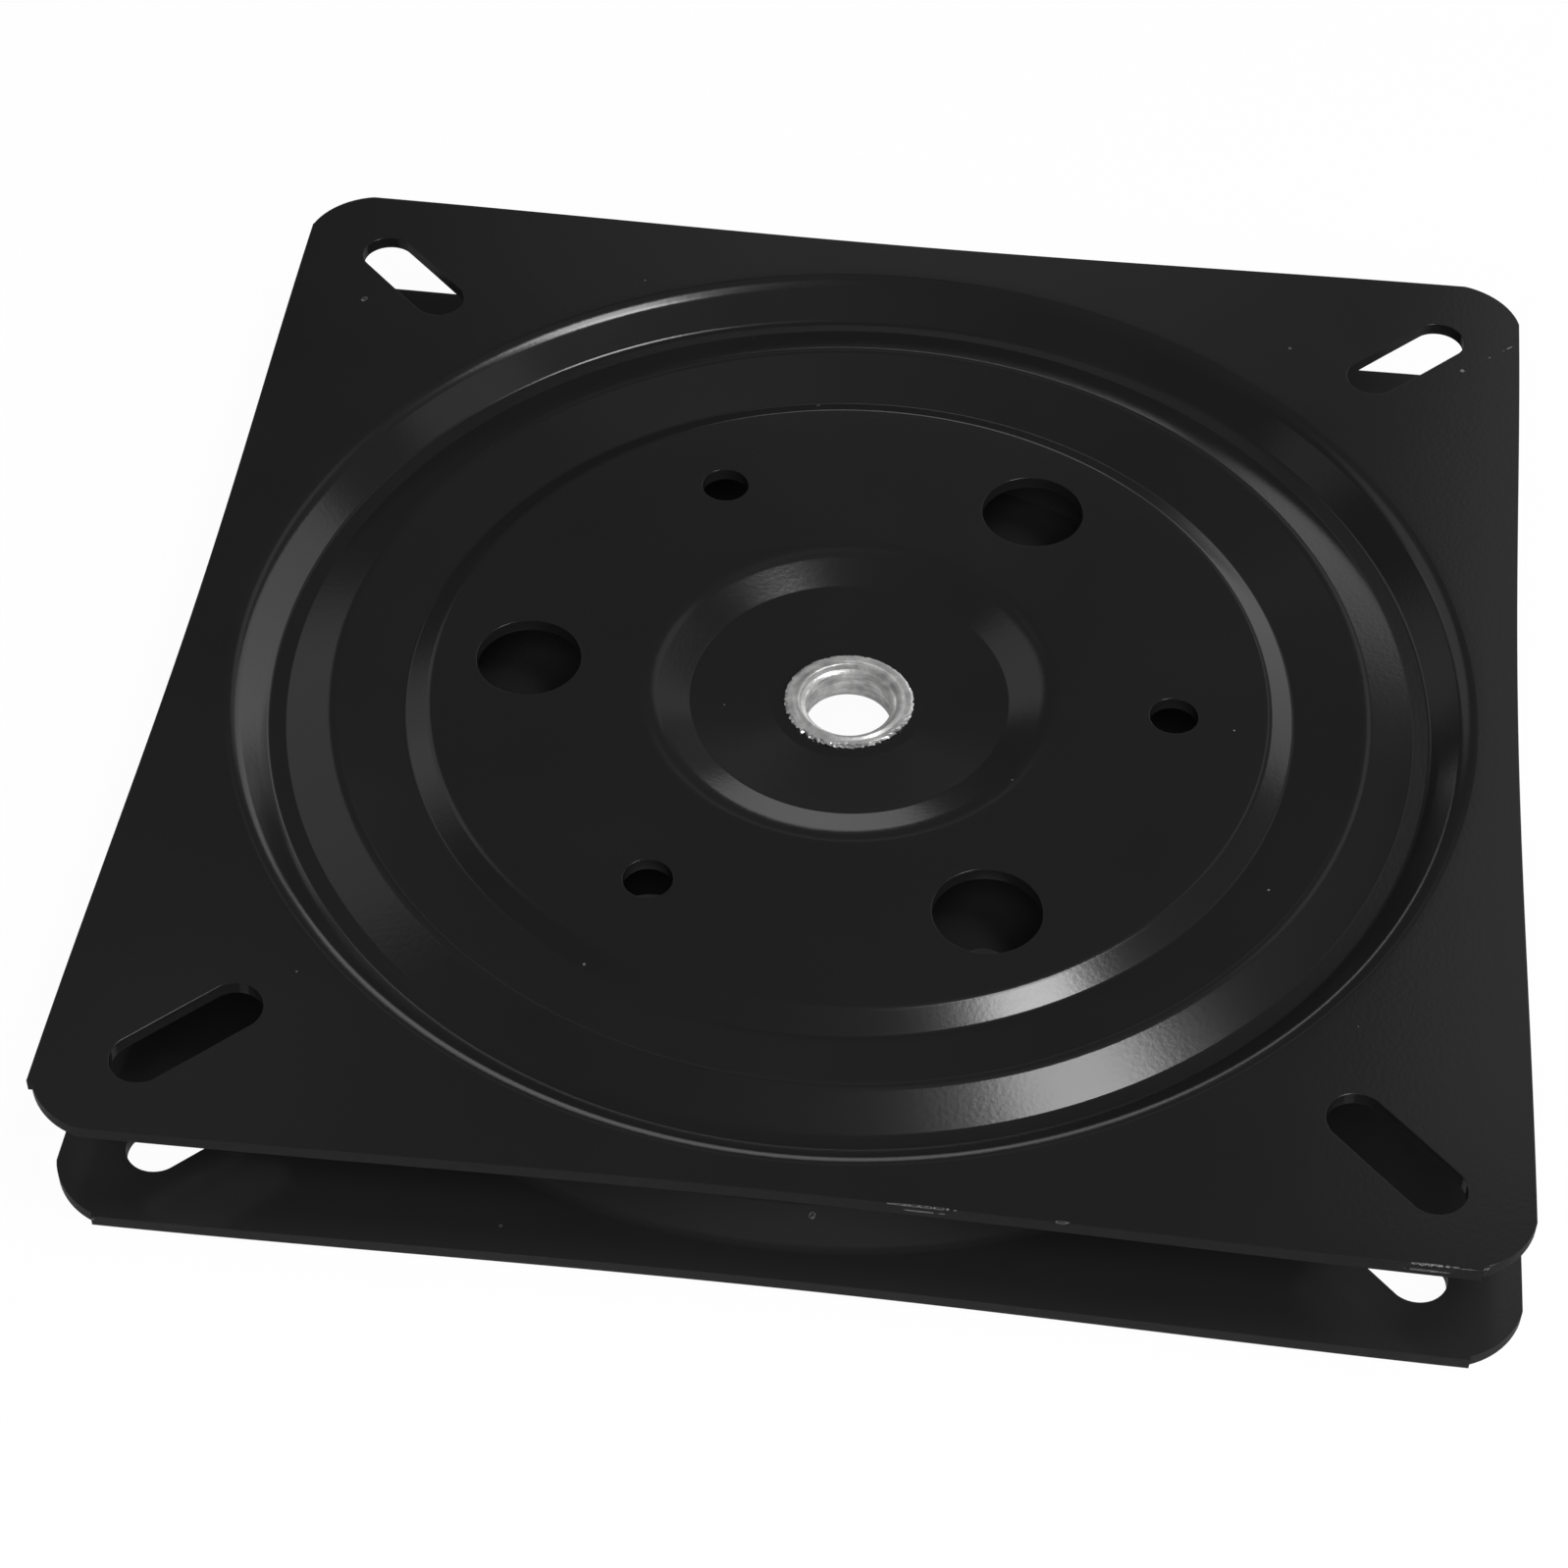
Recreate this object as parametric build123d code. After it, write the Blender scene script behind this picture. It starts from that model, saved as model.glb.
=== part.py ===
from build123d import *
import os
from math import cos, radians, tan

# Square swivel plate of a bar stool: two pressed steel plates turn on a ring of caged balls, and a
# hollow rivet holds their middles together. Millimetres, +Z up, origin under the middle of the blanks.

# Plate blanks
plate_side = 200.0
sheet = 2.0
blank_aside = -0.5  # how far the blank lay off the middle of the press, to its right and to its back
blank_back = 1.7
corner_radius = 12.0
corner_inset = 11.65  # from each side to the middle of a corner's arc, which meets the sides at an angle
ledge_reach = 7.0  # from a corner to the ledge left where the corner tool stopped short of the edge
small_ledge_reach = 8.3  # the same, for the smaller ledge of the back left corner
side_bow = 1.35  # how far the pressing has drawn in the middle of each side
side_bow_quarter = 0.6  # the same, halfway from the middle to the corner
edge_roll = 0.35  # rounding that the punch leaves on the outer arrises

# Mounting slots, access holes and screw holes
slot_length = 23.0
slot_width = 8.4
slot_inset = 18.8  # from each side of the blank to the middle of a slot, if the blank lay true
slots_back = 0.7  # how far the slots lie behind the middle of the press
access_hole = 15.7
screw_hole = 7.2
holes_of_a_kind = 3
hole_place = 0.587  # where the hole circle lies between the dimple and the edge of the disc

# Pressed rings, from the flange to the middle: widths, and depths below the flange, on the outer face
flange_margin = 9.2
shoulder_bend = 2.5
recess_wall = 4.8
groove_floor = 2.6
groove_depth = 4.85
race_depth = 3.02
race_bend = 3.4
race_outer_slope = 15.8
race_inner_slope = 12.4
disc_foot_depth = 5.26
disc_slope = 26.0
disc_depth = 3.65
disc_bend = 3.0
dimple_share = 0.139  # radius of the dimple as a share of the plate's side
dimple_bend = 3.5
dimple_wall = 3.6
dimple_depth = 5.9
seat_radius = 11.5
seat_depth = 7.15
foot_bend = 0.8  # bend inside every sharp foot

# Balls and their cage
ball_diameter = 11.11
ball_count = 24
ball_clearance = 0.05
cage_height = 4.4
cage_wall = 1.5
cage_edge = 0.5
pocket_clearance = 0.2

# Hollow rivet and the washer between the plates
center_hole = 16.2
rivet_fit = 0.05
running_gap = 0.05
rivet_bore = 12.8
rivet_mouth = 15.0
rivet_mouth_depth = 0.9
rivet_mouth_round = 0.3
rivet_flange_radius = 9.8
rivet_flange = 0.7
rivet_rim_round = 0.25
washer_thickness = 0.8
washer_radius = 11.2
washer_fit = 0.15

# The flanks of the ball race lean towards each other and meet at an apex over its round crest
outer_flank, inner_flank = radians(race_outer_slope), radians(race_inner_slope)
lean = (outer_flank - inner_flank) / 2
spread = cos(lean) / cos((outer_flank + inner_flank) / 2)
apex_depth = race_depth - race_bend * (spread - 1)

# Heights that follow from the stack, with each ball touching both flanks of both races
middle = apex_depth + (ball_diameter / 2 + ball_clearance + sheet) * spread
overall_height = 2 * middle
upper_seat = overall_height - seat_depth
washer_top = upper_seat - sheet - running_gap
lower_seat_depth = washer_top - washer_thickness - sheet

# Radii that follow from the plate's side
recess_radius = plate_side / 2 - flange_margin
groove_radius = recess_radius - recess_wall
groove_inner = groove_radius - groove_floor
apex_radius = groove_inner - (groove_depth - apex_depth) / tan(outer_flank)
ball_ring = apex_radius - (middle - apex_depth) * tan(lean)
disc_foot = apex_radius - (disc_foot_depth - apex_depth) / tan(inner_flank)
disc_edge = disc_foot - (disc_foot_depth - disc_depth) / tan(radians(disc_slope))
dimple_radius = plate_side * dimple_share
hole_radius = dimple_radius + (disc_edge - dimple_radius) * hole_place
slot_reach = plate_side / 2 - slot_inset


def offset_chain(points, distance):
    """The chain of straight runs moved square to itself, with corners where the moved runs meet."""
    runs = []
    for start, end in zip(points, points[1:]):
        along = (end - start).normalized()
        across = Vector(-along.Y, along.X) * distance
        runs.append((start + across, along, end + across))
    moved = [runs[0][0]]
    for (start, along, _), (next_start, next_along, _) in zip(runs, runs[1:]):
        reach = (next_start - start).cross(next_along).Z / along.cross(next_along).Z
        moved.append(start + along * reach)
    moved.append(runs[-1][2])
    return moved


def pressing_section(plate_seat_depth):
    """Half section of the pressed sheet, with X as radius and Y as height above the flange's face."""
    # Each corner has its bend radius on the outer face: outward bends are positive, feet negative.
    corners = [
        (recess_radius, 0, shoulder_bend),
        (groove_radius, -groove_depth, -foot_bend),
        (groove_inner, -groove_depth, -foot_bend),
        (apex_radius, -apex_depth, race_bend),
        (disc_foot, -disc_foot_depth, -foot_bend),
        (disc_edge, -disc_depth, disc_bend),
        (dimple_radius, -disc_depth, dimple_bend),
        (dimple_radius - dimple_wall, -dimple_depth, -foot_bend),
        (seat_radius, -plate_seat_depth, -foot_bend),
    ]
    outer = [Vector(plate_side, 0)]
    outer += [Vector(radius, height) for radius, height, _ in corners]
    outer += [Vector(center_hole / 2, -plate_seat_depth)]
    inner = offset_chain(outer, sheet)
    outer_line = FilletPolyline(*outer, radius=[abs(bend) for _, _, bend in corners])
    inner_line = FilletPolyline(*inner, radius=[abs(bend - sheet) for _, _, bend in corners])
    ends = [Line(outer[0], inner[0]), Line(outer[-1], inner[-1])]
    return make_face(outer_line.edges() + inner_line.edges() + ends)


def blank_outline():
    """Square outline whose sides are drawn in towards their middles."""
    half = plate_side / 2
    side = Spline(
        (-half, -half),
        (-half / 2, side_bow_quarter - half),
        (0, side_bow - half),
        (half / 2, side_bow_quarter - half),
        (half, -half),
    )
    return make_face([Rot(0, 0, 90 * turn) * side for turn in range(4)])


def corner_cutter(front_reach, side_reach):
    """What the tool takes off the front right corner: all outside its arc, as far as it reached each way."""
    half = plate_side / 2
    square = Rectangle(plate_side, plate_side, align=(Align.MIN, Align.MAX))
    waste = Pos(half - front_reach, side_reach - half) * square
    arc_middle = half - corner_inset
    return extrude(waste - Pos(arc_middle, -arc_middle) * Circle(corner_radius), overall_height)


def punched_edges(plate, height):
    """Edges of the blank, and of its slots or holes, on the flat face at this height."""
    flat = plate.faces().filter_by(Plane.XY)
    level = [face for face in flat if abs(face.center().Z - height) < edge_roll]
    face = ShapeList(level).sort_by(SortBy.AREA)[-1]
    longest_hole = 2 * (slot_length + slot_width)
    holes = [ring for ring in face.inner_wires() if ring.length < longest_hole]
    return face.outer_wire().edges(), [edge for ring in holes for edge in ring.edges()]


def pressed_plate(plate_seat_depth, corner_reaches):
    """One plate with its flange on top: blank, pressed rings, slots, holes and cut corners.

    The reaches of the corner tool go round from the front right corner, each along its two edges in turn.
    """
    pressed = revolve(Plane.XZ * pressing_section(plate_seat_depth), Axis.Z)
    blank_place = Pos(blank_aside, blank_back)
    blank = extrude(blank_place * blank_outline(), overall_height)
    plate = blank & Pos(0, 0, overall_height) * pressed
    slot = extrude(SlotOverall(slot_length, slot_width), overall_height)
    for x, y in ((1, 1), (-1, 1), (-1, -1), (1, -1)):
        plate -= Pos(x * slot_reach, y * slot_reach + slots_back) * Rot(0, 0, 45 * x * y) * slot
    upright = (Align.CENTER, Align.CENTER, Align.MIN)
    for diameter, start in ((screw_hole, 0), (access_hole, 180 / holes_of_a_kind)):
        for place in PolarLocations(hole_radius, holes_of_a_kind, start_angle=start):
            plate -= place * Cylinder(diameter / 2, overall_height, align=upright)
    sides, slots = punched_edges(plate, overall_height)
    _, holes = punched_edges(plate, overall_height - disc_depth)
    plate = fillet([*sides, *slots, *holes], edge_roll)
    for turn, reaches in enumerate(corner_reaches):
        plate -= blank_place * Rot(0, 0, 90 * turn) * corner_cutter(*reaches)
    return plate


def center_rivet():
    """Hollow rivet: a plain flange under the lower plate, and a flared one over the upper plate."""
    low = lower_seat_depth - rivet_flange
    high = upper_seat + running_gap + rivet_flange
    shank = center_hole / 2 - rivet_fit
    bore, mouth = rivet_bore / 2, rivet_mouth / 2
    section = make_face(
        Polyline(
            (bore, low + rivet_mouth_depth),
            (mouth, low),
            (rivet_flange_radius, low),
            (rivet_flange_radius, lower_seat_depth),
            (shank, lower_seat_depth),
            (shank, high - rivet_flange),
            (rivet_flange_radius, high - rivet_flange),
            (rivet_flange_radius, high),
            (mouth, high),
            (mouth, high - rivet_mouth_depth),
            (bore, high - rivet_mouth_depth),
            close=True,
        )
    )
    section = fillet(section.vertices().group_by(Axis.X)[-1], rivet_rim_round)
    lip = section.vertices().sort_by_distance((mouth, high))[0]
    section = fillet(lip, rivet_mouth_round)
    return revolve(Plane.XZ * section, Axis.Z)


def thrust_washer():
    """Flat washer round the rivet that keeps the two plates from rubbing."""
    ring = Circle(washer_radius) - Circle(center_hole / 2 + washer_fit)
    return Pos(0, 0, washer_top - washer_thickness) * extrude(ring, washer_thickness)


def ball_cage(balls):
    """Flat ring round the balls, with a spherical pocket for each that keeps it from falling out."""
    pocket = ball_diameter / 2 + pocket_clearance
    half_width = pocket + cage_wall
    flat = Circle(ball_ring + half_width) - Circle(ball_ring - half_width)
    ring = extrude(flat, cage_height / 2, both=True)
    ring = chamfer(ring.edges(), cage_edge)
    return Pos(0, 0, middle) * ring - [place * Sphere(pocket) for place in balls]


ball_places = [
    Pos(0, 0, middle) * place for place in PolarLocations(ball_ring, ball_count)
]
no_ledge = (corner_inset, corner_inset)
ledge_first = (ledge_reach, corner_inset)
ledge_last = (corner_inset, ledge_reach)
small_ledge_last = (corner_inset, small_ledge_reach)
upper_corners = [ledge_first, no_ledge, small_ledge_last, ledge_first]
lower_corners = [ledge_first, no_ledge, small_ledge_last, ledge_last]
lower_place = Pos(0, 0, overall_height) * Rot(0, 180, 0)
pieces = {
    "upper_plate": pressed_plate(seat_depth, upper_corners),
    "lower_plate": lower_place * pressed_plate(lower_seat_depth, lower_corners),
    "center_rivet": center_rivet(),
    "thrust_washer": thrust_washer(),
    "ball_cage": ball_cage(ball_places),
}
for number, place in enumerate(ball_places, 1):
    pieces[f"ball_{number:02d}"] = place * Sphere(ball_diameter / 2)

os.makedirs("parts", exist_ok=True)
for name, piece in pieces.items():
    export_step(Pos(0, -blank_back) * piece, f"parts/{name}.step")
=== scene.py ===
import math
import random
import bmesh
import bpy
from mathutils import Matrix, Vector


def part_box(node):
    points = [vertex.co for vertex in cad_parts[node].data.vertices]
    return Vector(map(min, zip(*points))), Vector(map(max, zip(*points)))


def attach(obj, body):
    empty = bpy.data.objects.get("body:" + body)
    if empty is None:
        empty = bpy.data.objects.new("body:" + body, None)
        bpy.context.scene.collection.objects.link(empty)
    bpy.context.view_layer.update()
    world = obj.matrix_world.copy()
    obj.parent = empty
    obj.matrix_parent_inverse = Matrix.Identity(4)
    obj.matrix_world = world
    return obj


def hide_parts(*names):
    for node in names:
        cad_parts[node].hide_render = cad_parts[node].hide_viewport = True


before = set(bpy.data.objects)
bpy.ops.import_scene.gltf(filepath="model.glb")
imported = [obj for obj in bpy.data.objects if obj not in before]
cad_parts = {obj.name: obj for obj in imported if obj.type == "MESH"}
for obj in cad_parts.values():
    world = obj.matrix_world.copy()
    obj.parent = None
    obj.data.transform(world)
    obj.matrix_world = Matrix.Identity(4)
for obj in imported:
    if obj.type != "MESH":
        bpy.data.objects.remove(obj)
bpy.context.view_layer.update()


# Lower plate: a square blank of 2 mm mild steel, punched with slots and holes, drawn on a press into a
# ring groove, a ball race, a raised disc and a dimple, and dipped in black paint. The draw pulls the
# sides in, the punch rolls the outer arrises, and the corner tool leaves a ledge where it stops short.
mm = 0.001
hair = 0.01 * mm
finest = 0.001 * mm
plate_side = 200 * mm
sheet = 2 * mm
axis_y = -1.7 * mm
blank_place = Vector((-0.5 * mm, 1.7 * mm, 0))
corner_radius = 12 * mm
corner_inset = 11.65 * mm
corner_run = corner_inset - math.sqrt(corner_radius ** 2 - corner_inset ** 2)
ledge_run = 7 * mm
small_ledge_run = 8.3 * mm
side_draw = 1.35 * mm
arris_roll = 0.35 * mm
slot_length = 23 * mm
slot_width = 8.4 * mm
slot_reach = 81.2 * mm
slots_back = 0.7 * mm
hole_circle_radius = 48.23 * mm
access_hole_radius = 7.85 * mm
screw_hole_radius = 3.6 * mm
center_hole_radius = 8.1 * mm
seat_radius = 11.5 * mm
seat_bend = 0.8 * mm
lower_seat_depth = 9.507 * mm
disc_depth = 3.65 * mm
# Radii where the spun rings meet the flat flange and the flat disc
flange_seam = 94 * mm
disc_outer_seam = 60 * mm
disc_inner_seam = 32 * mm
# Radius, depth below the flange and bend of each corner of the pressed section, in millimetres
ring_corners = (
    (90.8, 0, 3.7),
    (86, 4.85, 0.8),
    (83.4, 4.85, 0.8),
    (76.565, 2.916, 3.4),
    (65.904, 5.26, 0.8),
    (62.4, 3.65, 2),
)
dimple_corners = ((30, 3.65, 10), (23.8, 5.85, 0.9))
spin_steps = 240
bend_steps = 8
corner_steps = 12
side_cuts = 40
slot_steps = 48
hole_steps = 64
arris_steps = 4
smooth_angle = math.radians(38)
# Painted light: the lower plate's paint is made lighter than the upper plate's, standing in for the
# light that the upper plate shades off it
lower_tone_with_painted_light = 0.0178
dust_color = (0.16, 0.16, 0.16)
bare_color = (0.55, 0.55, 0.54)


def below(top, corners):
    """Corners given as radius, depth and bend in millimetres, put below this height, in metres."""
    return [(radius * mm, top - depth * mm, bend * mm) for radius, depth, bend in corners]


def pressed_ring(bm, corners):
    """Spins a chain of straight runs with rounded corners; corners are (radius, height, bend)."""
    chain = [bm.verts.new((radius, 0, height)) for radius, height, _ in corners]
    for pair in zip(chain, chain[1:]):
        bm.edges.new(pair)
    places = [vert.co.copy() for vert in chain]
    for number in range(1, len(chain) - 1):
        before = places[number] - places[number - 1]
        after = places[number + 1] - places[number]
        bmesh.ops.bevel(
            bm, geom=[chain[number]], offset=corners[number][2] * math.tan(before.angle(after) / 2),
            offset_type="OFFSET", segments=bend_steps, profile=0.5, affect="VERTICES", material=-1,
            clamp_overlap=False,
        )
    section = [edge for edge in bm.edges if not edge.link_faces]
    points = list({vert for edge in section for vert in edge.verts})
    bmesh.ops.spin(
        bm, geom=points + section, cent=(0, 0, 0), axis=(0, 0, 1), angle=math.tau, steps=spin_steps,
        use_merge=True,
    )


def blank_outline(bm, corner_runs):
    """Outline of the blank: cut corners, from the front right one round, and drawn-in sides."""
    half = plate_side / 2
    ends = []
    for turn, (first_run, last_run) in enumerate(corner_runs):
        quarter = Matrix.Rotation(math.radians(90 * turn), 4, "Z")
        center = quarter @ Vector((half - corner_inset, corner_inset - half, 0))
        start = -math.acos((corner_inset - first_run) / corner_radius)
        sweep = -math.asin((corner_inset - last_run) / corner_radius) - start
        spoke = quarter @ Vector((math.cos(start), math.sin(start), 0))
        foot = bm.verts.new(center + spoke * corner_radius)
        arc = bmesh.ops.spin(
            bm, geom=[foot], cent=center, axis=(0, 0, 1), angle=sweep, steps=corner_steps,
        )
        head = next(item for item in arc["geom_last"] if isinstance(item, bmesh.types.BMVert))
        before = bm.verts.new(quarter @ Vector((half - first_run, -half, 0)))
        after = bm.verts.new(quarter @ Vector((half, last_run - half, 0)))
        bm.edges.new((before, foot))
        bm.edges.new((head, after))
        ends.append((before, after))
    following = ends[1:] + ends[:1]
    sides = [bm.edges.new((end[1], start[0])) for end, start in zip(ends, following)]
    bmesh.ops.subdivide_edges(bm, edges=sides, cuts=side_cuts)
    outline = [vert for vert in bm.verts if not vert.link_faces]
    for vert in outline:
        along = Vector((vert.co.y, vert.co.x))
        for axis in range(2):
            if abs(vert.co[axis]) > half - finest:
                drawn = side_draw * (1 + math.cos(math.pi * along[axis] / half)) / 2
                vert.co[axis] -= math.copysign(drawn, vert.co[axis])
    bmesh.ops.remove_doubles(bm, verts=outline, dist=hair)
    outline = [vert for vert in bm.verts if not vert.link_faces]
    bmesh.ops.translate(bm, verts=outline, vec=blank_place)


def punched_slot(bm, corner_angle):
    """Outline of a slot that points at the middle of the plate."""
    ring = bmesh.ops.create_circle(bm, radius=slot_width / 2, segments=slot_steps)["verts"]
    straight = (slot_length - slot_width) / 2
    for vert in ring:
        if abs(vert.co.x) > hair:
            vert.co.x += math.copysign(straight, vert.co.x)
    turn = Matrix.Rotation(corner_angle, 4, "Z")
    place = turn @ Matrix.Translation((slot_reach * math.sqrt(2), 0, 0))
    bmesh.ops.transform(bm, verts=ring, matrix=Matrix.Translation((0, slots_back, 0)) @ place)


def flat_fill(bm, height, inner, outer):
    """Fills the flat ring between two radii at this height, round all the outlines punched in it."""
    def lies_here(vert):
        return abs(vert.co.z - height) < hair and inner < vert.co.xy.length < outer
    open_edges = [edge for edge in bm.edges if len(edge.link_faces) < 2]
    rims = [edge for edge in open_edges if all(lies_here(vert) for vert in edge.verts)]
    bmesh.ops.triangle_fill(bm, use_beauty=True, edges=rims)


def is_outer_arris(edge):
    """True where a flat outer face meets the wall of the blank, a slot or a hole."""
    steepest = min(abs(face.normal.z) for face in edge.link_faces)
    outward = max(face.normal.z for face in edge.link_faces) > 0.99
    return outward and steepest < 0.1 and edge.verts[0].co.xy.length > disc_inner_seam


def finished_piece(name, bm):
    """Turns a bmesh into a smooth-shaded object at the origin, with its real arrises kept sharp."""
    mesh = bpy.data.meshes.new(name)
    bm.to_mesh(mesh)
    bm.free()
    mesh.shade_smooth()
    mesh.set_sharp_from_angle(angle=smooth_angle)
    piece = bpy.data.objects.new(name, mesh)
    bpy.context.collection.objects.link(piece)
    even = piece.modifiers.new("even_normals", "WEIGHTED_NORMAL")
    even.keep_sharp = True
    return piece


def pressed_plate(name, seat_depth, corner_runs, place):
    """A whole plate, first with its flange at height 0 and its rings below, then put in its place."""
    bm = bmesh.new()
    outer_ring = [(flange_seam, 0, 0), *below(0, ring_corners), (disc_outer_seam, -disc_depth, 0)]
    pressed_ring(bm, outer_ring)
    dimple = [(disc_inner_seam, -disc_depth, 0), *below(0, dimple_corners)]
    dimple += [(seat_radius, -seat_depth, seat_bend), (center_hole_radius, -seat_depth, 0)]
    pressed_ring(bm, dimple)
    blank_outline(bm, corner_runs)
    for corner in range(4):
        punched_slot(bm, math.radians(45 + 90 * corner))
    flat_fill(bm, 0, flange_seam - mm, plate_side)
    for hole in range(6):
        spot = Matrix.Rotation(math.radians(60 * hole), 4, "Z")
        spot = spot @ Matrix.Translation((hole_circle_radius, 0, -disc_depth))
        radius = access_hole_radius if hole % 2 else screw_hole_radius
        bmesh.ops.create_circle(bm, radius=radius, segments=hole_steps, matrix=spot)
    flat_fill(bm, -disc_depth, disc_inner_seam - mm, disc_outer_seam + mm)
    bmesh.ops.recalc_face_normals(bm, faces=bm.faces)
    if sum(face.normal.z * face.calc_area() for face in bm.faces) < 0:
        bmesh.ops.reverse_faces(bm, faces=bm.faces)
    bmesh.ops.solidify(bm, geom=bm.faces, thickness=sheet)
    arrises = [edge for edge in bm.edges if is_outer_arris(edge)]
    bmesh.ops.bevel(
        bm, geom=arrises, offset=arris_roll, offset_type="OFFSET", segments=arris_steps, profile=0.5,
        affect="EDGES", material=-1, clamp_overlap=True,
    )
    bmesh.ops.transform(bm, verts=bm.verts, matrix=place)
    return finished_piece(name, bm)


def add_node(tree, kind, inputs=None, **settings):
    """Adds a shader node; an input is given a value or the socket that feeds it."""
    made = tree.nodes.new(kind)
    for setting, value in settings.items():
        setattr(made, setting, value)
    for socket, value in (inputs or {}).items():
        if isinstance(value, bpy.types.NodeSocket):
            tree.links.new(value, made.inputs[socket])
        else:
            made.inputs[socket].default_value = value
    return made


def combined(tree, operation, first, second):
    """Result of a sum on two values; each is a number or a socket."""
    return add_node(tree, "ShaderNodeMath", {0: first, 1: second}, operation=operation).outputs[0]


def between(tree, factor, low, high):
    """Value that goes from low to high as the factor goes from 0 to 1."""
    inputs = {"Value": factor, "To Min": low, "To Max": high}
    return add_node(tree, "ShaderNodeMapRange", inputs).outputs["Result"]


def mixed_color(tree, factor, first, second):
    """Colour between two others; each is a value or a socket."""
    mix = add_node(tree, "ShaderNodeMix", {"Factor": factor}, data_type="RGBA")
    for socket, value in (("A", first), ("B", second)):
        target = next(item for item in mix.inputs if item.name == socket and item.type == "RGBA")
        if isinstance(value, bpy.types.NodeSocket):
            tree.links.new(value, target)
        else:
            target.default_value = (*value, 1)
    return next(item for item in mix.outputs if item.type == "RGBA")


def raised(tree, height, strength, depth, under=None):
    """Normal of a surface with this relief, over another normal if one is given."""
    inputs = {"Height": height, "Strength": strength, "Distance": depth}
    if under is not None:
        inputs["Normal"] = under
    return add_node(tree, "ShaderNodeBump", inputs).outputs["Normal"]


def new_finish(name):
    """A material with nodes: its node tree, its shader, and the coordinates of the piece."""
    finish = bpy.data.materials.new(name)
    finish.use_nodes = True
    tree = finish.node_tree
    place = add_node(tree, "ShaderNodeTexCoord").outputs["Object"]
    return finish, tree, tree.nodes["Principled BSDF"], place


def feed(tree, shader, color, roughness, normal):
    """Links what every finish varies to its shader."""
    for socket, source in (("Base Color", color), ("Roughness", roughness), ("Normal", normal)):
        tree.links.new(source, shader.inputs[socket])


def shared_effect(name, inputs, outputs):
    """An empty node group with these named sockets, and its two end nodes."""
    group = bpy.data.node_groups.new(name, "ShaderNodeTree")
    for socket, kind in inputs:
        group.interface.new_socket(socket, in_out="INPUT", socket_type=kind)
    for socket, kind in outputs:
        group.interface.new_socket(socket, in_out="OUTPUT", socket_type=kind)
    return group, group.nodes.new("NodeGroupInput"), group.nodes.new("NodeGroupOutput")


def settled_dust():
    """Scattered specks of dust: small spots in some of the cells of a fine Voronoi pattern."""
    group, given, result = shared_effect(
        "settled_dust",
        [("Vector", "NodeSocketVector"), ("Spacing", "NodeSocketFloat"), ("Share", "NodeSocketFloat")],
        [("Mask", "NodeSocketFloat")],
    )
    cells = add_node(
        group, "ShaderNodeTexVoronoi",
        {"Vector": given.outputs["Vector"], "Scale": given.outputs["Spacing"]},
    )
    chance = add_node(group, "ShaderNodeSeparateColor", {"Color": cells.outputs["Color"]}).outputs
    chosen = combined(group, "LESS_THAN", chance["Red"], given.outputs["Share"])
    reach = between(group, chance["Green"], 0.015, 0.05)
    inside = combined(group, "LESS_THAN", cells.outputs["Distance"], reach)
    speck = combined(group, "MULTIPLY", chosen, inside)
    faint = combined(group, "MULTIPLY", speck, chance["Blue"])
    group.links.new(faint, result.inputs["Mask"])
    return group


def fine_grain():
    """Slow drift of tone over a surface, and the fine height of its grain."""
    group, given, result = shared_effect(
        "fine_grain",
        [("Vector", "NodeSocketVector"), ("Drift", "NodeSocketFloat"), ("Grain", "NodeSocketFloat")],
        [("Tone", "NodeSocketFloat"), ("Height", "NodeSocketFloat")],
    )
    for scale, detail, socket in (("Drift", 4, "Tone"), ("Grain", 2, "Height")):
        noise = add_node(
            group, "ShaderNodeTexNoise",
            {"Vector": given.outputs["Vector"], "Scale": given.outputs[scale], "Detail": detail},
        )
        group.links.new(noise.outputs["Fac"], result.inputs[socket])
    return group


dust = settled_dust()
grain = fine_grain()


def grained(tree, place, drift, fineness):
    """Tone and height of the shared grain, at these two scales."""
    inputs = {"Vector": place, "Drift": drift, "Grain": fineness}
    surface = add_node(tree, "ShaderNodeGroup", inputs, node_tree=grain)
    return surface.outputs["Tone"], surface.outputs["Height"]


def soft_oval(tree, place, middle, turn, half, core):
    """Mask that falls from 1 inside this share of a turned oval to 0 at its edge."""
    oval = add_node(
        tree, "ShaderNodeMapping",
        {"Vector": place, "Location": middle, "Rotation": turn, "Scale": half}, vector_type="TEXTURE",
    )
    reach = add_node(tree, "ShaderNodeVectorMath", {0: oval.outputs["Vector"]}, operation="LENGTH")
    inside = {"Value": reach.outputs["Value"], "From Min": 1, "From Max": core}
    mask = add_node(tree, "ShaderNodeMapRange", inside, interpolation_type="SMOOTHSTEP")
    return mask.outputs["Result"]


def strongest(tree, masks):
    """The largest of several masks at each point."""
    top = masks[0]
    for mask in masks[1:]:
        top = combined(tree, "MAXIMUM", top, mask)
    return top


def bare_marks(tree, place, marks):
    """Ragged ovals where the paint is off; marks are (middle, turn, half sizes) in mm and degrees."""
    broken = add_node(tree, "ShaderNodeTexNoise", {"Vector": place, "Scale": 900, "Detail": 3})
    ovals = [
        soft_oval(tree, place, Vector(middle) * mm, (0, 0, math.radians(turn)), Vector(half) * mm, 0.4)
        for middle, turn, half in marks
    ]
    ragged = combined(tree, "MULTIPLY", strongest(tree, ovals), broken.outputs["Fac"])
    edge = {"Value": ragged, "From Min": 0.42, "From Max": 0.52}
    return add_node(tree, "ShaderNodeMapRange", edge).outputs["Result"]


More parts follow.
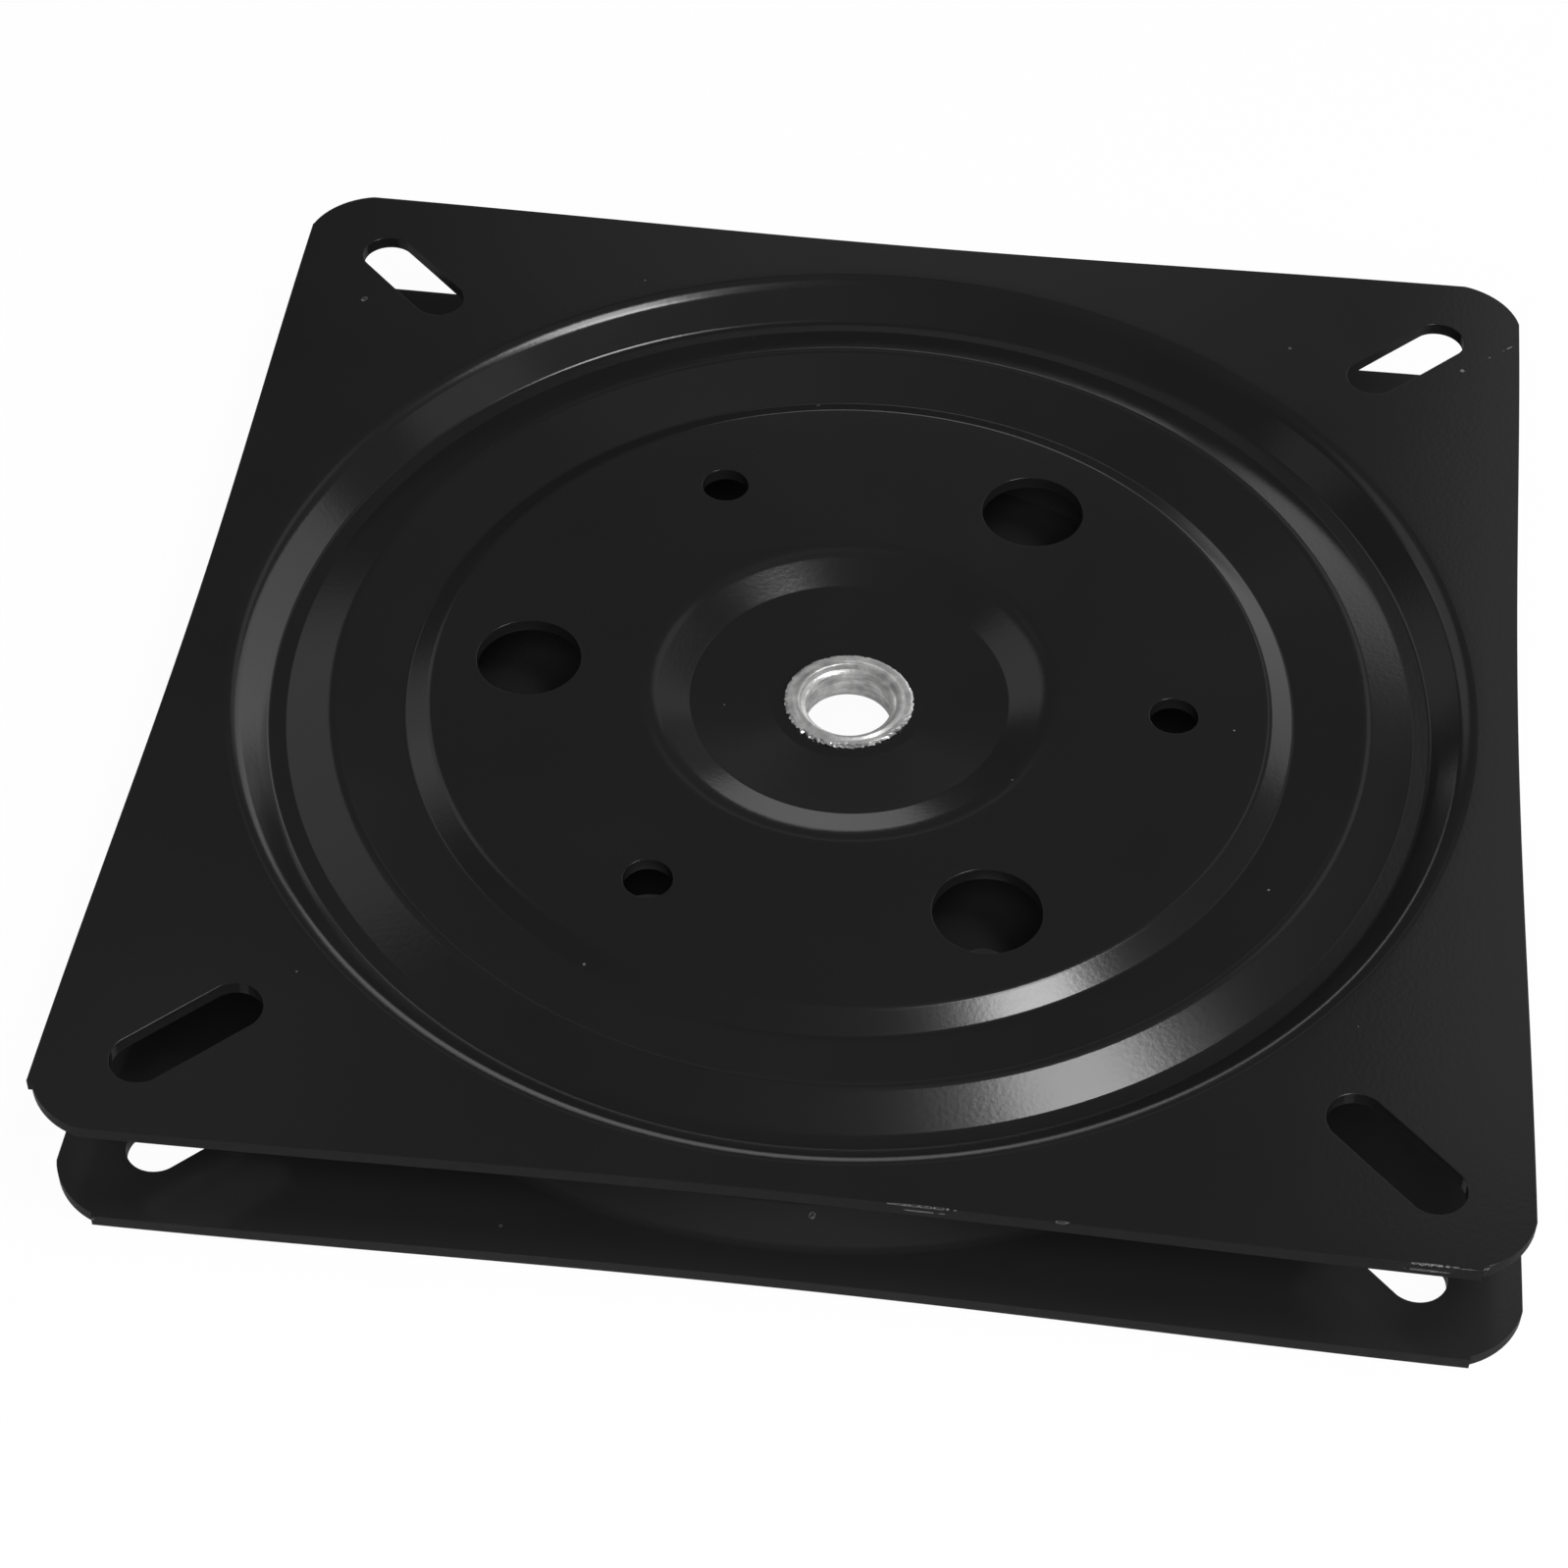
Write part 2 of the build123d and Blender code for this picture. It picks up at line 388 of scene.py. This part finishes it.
def black_paint(name, marks, tone):
    """Thin semi-gloss black paint with a fine grain, a little dust and marks where it came off."""
    paint, tree, shader, place = new_finish(name)
    drift, height = grained(tree, place, 45, 1400)
    scatter = {"Vector": place, "Spacing": 160, "Share": 0.16}
    specks = add_node(tree, "ShaderNodeGroup", scatter, node_tree=dust).outputs["Mask"]
    chipped = bare_marks(tree, place, marks)
    thick = (0.88 * tone, 0.88 * tone, 0.9 * tone)
    thin = (1.1 * tone, 1.1 * tone, 1.13 * tone)
    color = mixed_color(tree, drift, thick, thin)
    color = mixed_color(tree, specks, color, dust_color)
    color = mixed_color(tree, chipped, color, bare_color)
    relief = raised(tree, height, 0.05, 0.2 * mm)
    feed(tree, shader, color, between(tree, drift, 0.13, 0.19), relief)
    tree.links.new(chipped, shader.inputs["Metallic"])
    return paint


def pressed_piece(name, node, body, seat_depth, corner_runs, place, marks, tone):
    """Presses, paints and mounts one plate."""
    plate = pressed_plate(name, seat_depth, corner_runs, place)
    plate.data.materials.append(black_paint(f"{node}_black_paint", marks, tone))
    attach(plate, body)
    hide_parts(node)


plain_corner = (corner_run, corner_run)
ledge_first = (ledge_run, corner_run)
ledge_last = (corner_run, ledge_run)
small_ledge_last = (corner_run, small_ledge_run)
lower_corners = (ledge_first, plain_corner, small_ledge_last, ledge_last)
lower_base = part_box("lower_plate")[0][2]
lower_place = Matrix.Translation((0, axis_y, lower_base)) @ Matrix.Rotation(math.pi, 4, "Y")
lower_marks = (
    ((-92.2, -99.6, 1.2), 0, (1.0, 0.7, 1.2)),
    ((4.9, -89.8, 5.2), 0, (0.8, 0.9, 0.9)),
)
# The lower plate gets the lighter paint tone, a painted light for the shade it lies in under the upper
# plate
pressed_piece(
    "pressed_lower_plate", "lower_plate", "base",
    lower_seat_depth, lower_corners, lower_place, lower_marks, lower_tone_with_painted_light,
)


# Thrust washer: a flat ring of plain nylon round the rivet that keeps the two seats from rubbing.
# It is stamped from sheet, so its faces are smooth and its tone drifts a little.
washer_tones = ((0.68, 0.67, 0.62), (0.78, 0.77, 0.73))


def grained_finish(name, scales, tones, roughness, relief, metallic=0):
    """A finish whose tone and roughness drift together; relief is its grain's strength and depth."""
    finish, tree, shader, place = new_finish(name)
    drift, height = grained(tree, place, *scales)
    color = mixed_color(tree, drift, *tones)
    feed(tree, shader, color, between(tree, drift, *roughness), raised(tree, height, *relief))
    shader.inputs["Metallic"].default_value = metallic
    return finish


def dress(node, finish):
    """Gives this finish to a piece that is carried over from the CAD model."""
    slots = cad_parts[node].data.materials
    slots.clear()
    slots.append(finish)


washer_nylon = grained_finish("washer_nylon", (260, 2600), washer_tones, (0.38, 0.52), (0.1, 0.1 * mm))
dress("thrust_washer", washer_nylon)


# Hollow rivet: a soft steel tube, zinc plated. Its plain flange lies under the lower plate. A stepped
# punch flared its upper end over the upper plate, which left a bright lip and a ledge in the mouth. The
# thin rim of the flare split as it spread, most of all at the front, and stands out in ragged teeth.
rivet_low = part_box("center_rivet")[0][2]
rivet_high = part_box("center_rivet")[1][2]
rivet_middle = (rivet_low + rivet_high) / 2
bore_radius = 6.4 * mm
rim_radius = 9.8 * mm
rim_start = 9 * mm
rim_parting = 0.55 * mm
rim_lift = 0.08 * mm
tooth_widths = (2, 3, 4, 4, 6)
tooth_depths = (0.25, 1)
tooth_cut = 0.125
tooth_drop = 0.26 * mm
torn_least = 0.15
torn_bias = 0.2
zinc_tones = ((0.44, 0.44, 0.44), (0.9, 0.9, 0.89))
# Radius, height above the underside and bend of each corner of the foot, in millimetres
rivet_foot = ((6.4, 0.9, 0.2), (7.5, 0, 0.2), (9.8, 0, 0.2), (9.8, 0.7, 0.2), (8.05, 0.7, 0.1))
# Radius, depth below the top and bend of each corner of the flare, in millimetres
rivet_flare = (
    (8.05, 0.7, 0.1),
    (9.8, 0.7, 0.05),
    (9.8, 0.46, 0.08),
    (9.3, 0.22, 0.4),
    (8.45, 0.2, 0.5),
    (7.9, 0, 0.25),
    (7.5, 0, 0.3),
    (7.1, 0.75, 0.12),
    (6.75, 0.9, 0.2),
    (6.42, 1.15, 0.2),
)
foot = [(radius * mm, rivet_low + height * mm, bend * mm) for radius, height, bend in rivet_foot]
bore_seam = (bore_radius, rivet_middle, 0)
bm = bmesh.new()
pressed_ring(bm, [bore_seam, *foot, *below(rivet_high, rivet_flare), bore_seam])
bmesh.ops.remove_doubles(bm, verts=bm.verts, dist=finest)
bmesh.ops.recalc_face_normals(bm, faces=bm.faces)
# One row of teeth for the rim's lower edge and one for its upper edge, with a depth at each step
dice = random.Random(7)
torn_edges = []
for _ in range(2):
    teeth = []
    while len(teeth) < spin_steps:
        width = dice.choice(tooth_widths)
        depth = dice.uniform(*tooth_depths)
        teeth += [depth * (1 - step / width) for step in range(width)]
    torn_edges.append(teeth)
for vert in bm.verts:
    spread = (vert.co.xy.length - rim_start) / (rim_radius - rim_start)
    if spread > 0 and vert.co.z > rivet_middle:
        angle = math.atan2(vert.co.y, vert.co.x)
        teeth = torn_edges[vert.co.z > rivet_high - rim_parting]
        torn = torn_least + (1 - torn_least) * math.sqrt(max(0, torn_bias - math.sin(angle)))
        tooth = teeth[round(angle / math.tau * spin_steps) % spin_steps] * min(1, torn)
        vert.co.xy *= 1 - tooth_cut * tooth * spread
        vert.co.z += (rim_lift - tooth_drop * tooth) * spread
bmesh.ops.translate(bm, verts=bm.verts, vec=(0, axis_y, 0))
rivet = finished_piece("flared_rivet", bm)
zinc, tree, shader, place = new_finish("zinc_plate")
drift, height = grained(tree, place, 520, 3200)
turned = add_node(tree, "ShaderNodeMapping", {"Vector": place, "Scale": (0.22, 0.22, 1)})
bands = {"Vector": turned.outputs["Vector"], "Scale": 1500, "Detail": 3}
bands = add_node(tree, "ShaderNodeTexNoise", bands).outputs["Fac"]
cloud = {"Value": combined(tree, "MULTIPLY", drift, bands), "From Min": 0.14, "From Max": 0.38}
cloud = add_node(tree, "ShaderNodeMapRange", cloud).outputs["Result"]
relief = raised(tree, cloud, 0.35, 0.08 * mm)
relief = raised(tree, height, 0.2, 0.05 * mm, relief)
feed(tree, shader, mixed_color(tree, cloud, *zinc_tones), between(tree, cloud, 0.42, 0.26), relief)
shader.inputs["Metallic"].default_value = 0.7
rivet.data.materials.append(zinc)
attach(rivet, "base")
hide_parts("center_rivet")


# Ball cage: a flat ring moulded in black nylon. The balls in its round pockets hold it between the
# races, so it needs no fixing. The mould leaves a fine, dull grain.
cage_tones = ((0.016, 0.016, 0.017), (0.03, 0.03, 0.031))
cage_nylon = grained_finish("cage_nylon", (90, 2400), cage_tones, (0.42, 0.58), (0.15, 0.1 * mm))
dress("ball_cage", cage_nylon)


# Balls: hardened steel, ground and polished, greased into the cage's pockets.
# Smears of grease dull the polish in places.
ball_tones = ((0.44, 0.43, 0.4), (0.6, 0.6, 0.59))
ball_steel = grained_finish(
    "ball_steel", (320, 4200), ball_tones, (0.3, 0.08), (0.03, 0.05 * mm), metallic=1,
)
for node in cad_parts:
    if node.startswith("ball_") and node != "ball_cage":
        dress(node, ball_steel)


# Upper plate: the same pressing the other way up, held down by the flare of the rivet. Its front edge
# was knocked about, so bare steel shows there in broken lines. Its flange has a nick, a bare dot and
# two fine scratches.
upper_seat_depth = 7.15 * mm
upper_tone = 0.0108
upper_corners = (ledge_first, plain_corner, small_ledge_last, ledge_first)
upper_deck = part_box("upper_plate")[1][2]
upper_place = Matrix.Translation((0, axis_y, upper_deck))
deck = upper_deck / mm
upper_marks = (
    ((20.3, -98.75, deck - 0.1), 0, (8.8, 0.3, 0.35)),
    ((19.5, -98.9, deck - 1.1), 0, (6.5, 0.3, 0.35)),
    ((38.3, -98.95, deck - 0.1), 0, (2.2, 0.3, 0.35)),
    ((86.5, -99.75, deck - 0.1), 0, (7.2, 0.35, 0.35)),
    ((85.2, -99.9, deck - 1.1), 0, (6.0, 0.35, 0.35)),
    ((94.0, -99.3, deck - 0.5), 0, (2.4, 0.7, 0.9)),
    ((-88.1, 73.2, deck), 60, (1.3, 0.7, 0.5)),
    ((90.2, 78.4, deck), 0, (0.6, 0.6, 0.5)),
    ((93.9, 81.6, deck), 41, (2.0, 0.22, 0.5)),
    ((97.6, 84.9, deck), 43, (2.2, 0.2, 0.5)),
)
pressed_piece(
    "pressed_upper_plate", "upper_plate", "top",
    upper_seat_depth, upper_corners, upper_place, upper_marks, upper_tone,
)


# Studio: a white floor that keeps a faint shadow and, as a painted reflection, glows to the gloss
# brighter under the bore than further out; a dark room with the bright surfaces that the gloss of the
# paint mirrors, a long strip light overhead to the right, and fills that no gloss mirrors. The camera
# stands where the photograph was taken.
white = (1, 1, 1, 1)
floor_half = 3
floor_drop = 0.3 * mm
floor_color = (0.9, 0.9, 0.9, 1)
floor_glow = 0.96
# Painted reflection: how bright the floor glows to the gloss under the bore and beyond the rings, and
# where it changes
painted_gloss_under_bore, painted_gloss_beyond_rings = 0.36, 0.15
bore_reach, ring_reach = 0.03, 0.07
bm = bmesh.new()
level_place = Matrix.Translation((0, 0, -floor_drop))
bmesh.ops.create_grid(bm, x_segments=1, y_segments=1, size=floor_half, matrix=level_place)
floor_mesh = bpy.data.meshes.new("studio_floor")
bm.to_mesh(floor_mesh)
bm.free()
floor = bpy.data.objects.new("studio_floor", floor_mesh)
bpy.context.collection.objects.link(floor)
white_floor, tree, matt, floor_place = new_finish("white_floor")
matt.inputs["Base Color"].default_value = floor_color
matt.inputs["Roughness"].default_value = 0.9
matt.inputs["Specular IOR Level"].default_value = 0
rays = add_node(tree, "ShaderNodeLightPath").outputs
seen = combined(tree, "MAXIMUM", rays["Is Camera Ray"], rays["Is Transmission Ray"])
share = combined(tree, "MULTIPLY", seen, floor_glow)
share = combined(tree, "MAXIMUM", share, rays["Is Glossy Ray"])
reach = add_node(tree, "ShaderNodeVectorMath", {0: floor_place}, operation="LENGTH").outputs["Value"]
# Painted reflection: the floor's glow to the gloss falls from the middle, under the bore, to beyond the
# rings
painted_floor_reflection = {
    "Value": reach, "From Min": bore_reach, "From Max": ring_reach,
    "To Min": painted_gloss_under_bore, "To Max": painted_gloss_beyond_rings,
}
painted_floor_reflection = add_node(tree, "ShaderNodeMapRange", painted_floor_reflection).outputs["Result"]
glow = {"Color": white, "Strength": combined(tree, "MAXIMUM", seen, painted_floor_reflection)}
glow = add_node(tree, "ShaderNodeEmission", glow)
lit = {0: share, 1: matt.outputs["BSDF"], 2: glow.outputs["Emission"]}
lit = add_node(tree, "ShaderNodeMixShader", lit)
tree.links.new(lit.outputs["Shader"], tree.nodes["Material Output"].inputs["Surface"])
floor_mesh.materials.append(white_floor)

room_level = 0.04
patch_depth = 2
# Bright surfaces: compass angle, elevation and half sizes in degrees, level, and share that is even
room_patches = (
    (47, 14, 32, 18, 1, 0.85),
    (90, 0, 15, 20, 1, 0.9),
    (105, -3, 32, 11, 1, 0.8),
    (137, 38, 17, 22, 0.5, 0.6),
    (-5, 37, 14, 10, 0.4, 0.6),
    (148, 31, 9, 7, 0.7, 0.5),
    (180, 33, 12, 6, 0.3, 0.5),
    (155, 6, 22, 16, 0.3, 0.6),
    (94, 38.2, 11, 1.8, 0.5, 0.3),
    (111, 50.5, 5, 3.5, 0.2, 0.2),
    (84, 64, 14, 7, 0.17, 0.2),
)
world = bpy.data.worlds.new("studio_room")
bpy.context.scene.world = world
world.use_nodes = True
tree = world.node_tree
way = add_node(tree, "ShaderNodeTexCoord").outputs["Generated"]
patches = []
for angle, elevation, half_angle, half_elevation, level, even in room_patches:
    turn = (0, math.radians(-elevation), math.radians(angle))
    middle = Vector((1, 0, 0))
    middle.rotate(Matrix.Rotation(turn[2], 3, "Z") @ Matrix.Rotation(turn[1], 3, "Y"))
    half = (patch_depth, math.sin(math.radians(half_angle)), math.sin(math.radians(half_elevation)))
    patch = soft_oval(tree, way, middle, turn, half, even)
    patches.append(combined(tree, "MULTIPLY", patch, level))
room = {"Color": white, "Strength": combined(tree, "MAXIMUM", strongest(tree, patches), room_level)}
room = add_node(tree, "ShaderNodeBackground", room).outputs["Background"]
backdrop = add_node(tree, "ShaderNodeBackground", {"Color": white, "Strength": 1})
rays = add_node(tree, "ShaderNodeLightPath").outputs
shown = {0: rays["Is Camera Ray"], 1: room, 2: backdrop.outputs["Background"]}
shown = add_node(tree, "ShaderNodeMixShader", shown)
tree.links.new(shown.outputs["Shader"], tree.nodes["World Output"].inputs["Surface"])


def soft_box(name, way, along, distance, length, width, energy):
    """Oblong lamp that shines at the part from this side, with its length along this direction."""
    lamp = bpy.data.lights.new(name, "AREA")
    lamp.shape = "RECTANGLE"
    lamp.size = length
    lamp.size_y = width
    lamp.energy = energy
    facing = Vector(way).normalized()
    across = facing.cross(Vector(along)).normalized()
    holder = bpy.data.objects.new(name, lamp)
    turn = Matrix((across.cross(facing), across, facing)).transposed().to_4x4()
    holder.matrix_world = Matrix.Translation(facing * distance) @ turn
    bpy.context.collection.objects.link(holder)
    return holder


strip_side, strip_along = (0.36, -0.03, 0.92), (0.22, -0.45, -0.1)
soft_box("strip_light", strip_side, strip_along, 1.2, 0.66, 0.24, 4.2)
soft_box("strip_glow", strip_side, strip_along, 1.26, 0.8, 0.48, 0.9)
soft_box("overhead_box", (0.42, -0.13, 0.9), (0.7, 0.7, 0), 1.2, 0.34, 0.22, 1.1)
soft_box("right_card", (0.26, 0.69, 0.68), (0, -0.7, 0.7), 1, 0.44, 0.18, 0.085)
fills = (
    soft_box("camera_fill", (0.06, -0.72, 0.69), (1, 0, 0), 1.4, 0.9, 0.9, 13.5),
    soft_box("right_fill", (0.85, -0.25, 0.5), (0, 1, 0), 1.2, 0.5, 0.5, 5),
)
for fill in fills:
    fill.visible_glossy = False

camera_roll = math.radians(0.594)
camera_data = bpy.data.cameras.new("photo_camera")
camera_data.lens = 85.74
camera_data.sensor_width = 36
eye = Vector((0.03506, -0.39029 + axis_y, 0.41142))
aim = Vector((-0.00681, -0.02448 + axis_y, 0.0215))
look = (aim - eye).to_track_quat("-Z", "Y").to_matrix() @ Matrix.Rotation(camera_roll, 3, "Z")
camera = bpy.data.objects.new("photo_camera", camera_data)
camera.matrix_world = Matrix.Translation(eye) @ look.to_4x4()
bpy.context.collection.objects.link(camera)
bpy.context.scene.camera = camera
bpy.context.scene.view_settings.view_transform = "Standard"
